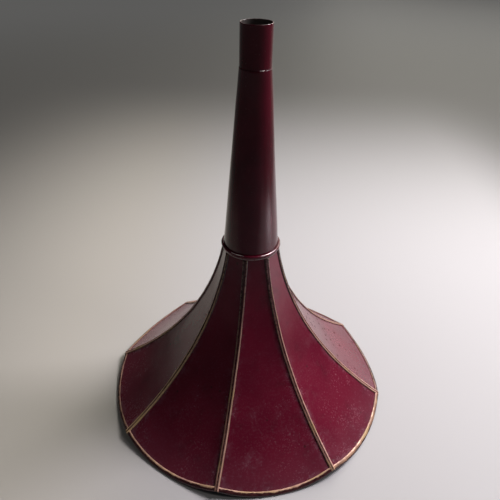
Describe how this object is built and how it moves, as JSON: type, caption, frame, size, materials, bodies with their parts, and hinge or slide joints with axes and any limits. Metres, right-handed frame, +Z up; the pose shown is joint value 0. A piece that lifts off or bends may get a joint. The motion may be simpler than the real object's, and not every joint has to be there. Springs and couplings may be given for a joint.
{
  "type": "gramophone horn",
  "caption": "Petalled sheet-metal gramophone horn in worn maroon paint with gilt seams and rim, a beaded collar, a conical neck and a plain tip, standing on its bell.",
  "frame": {"origin": "on the horn's axis, in the plane that its rim rests on", "axes": "+Z up the horn's axis towards the tip, +X through the middle of petal_1, +Y through the lap at the back of the neck"},
  "size_m": [0.2976, 0.2976, 0.388],
  "materials": {
    "bell_paint": "worn semi-gloss maroon paint",
    "neck_paint": "glossy dark maroon paint",
    "gilt_paint": "worn bronze gilt paint",
    "solder": "rubbed paint over solder"
  },
  "bodies": {
    "root": {"tip_tube": "neck_paint", "tip_solder": "solder", "neck_cone": "neck_paint", "neck_bead": "bell_paint", "throat_collar": "bell_paint", "petal_1": "bell_paint", "petal_2": "bell_paint", "petal_3": "bell_paint", "petal_4": "bell_paint", "petal_5": "bell_paint", "petal_6": "bell_paint", "petal_7": "bell_paint", "petal_8": "bell_paint", "seam_strip_1": "gilt_paint", "seam_strip_2": "gilt_paint", "seam_strip_3": "gilt_paint", "seam_strip_4": "gilt_paint", "seam_strip_5": "gilt_paint", "seam_strip_6": "gilt_paint", "seam_strip_7": "gilt_paint", "seam_strip_8": "gilt_paint", "rim_binding_1": "gilt_paint", "rim_binding_2": "gilt_paint", "rim_binding_3": "gilt_paint", "rim_binding_4": "gilt_paint", "rim_binding_5": "gilt_paint", "rim_binding_6": "gilt_paint", "rim_binding_7": "gilt_paint", "rim_binding_8": "gilt_paint"}
  },
  "joints": []
}
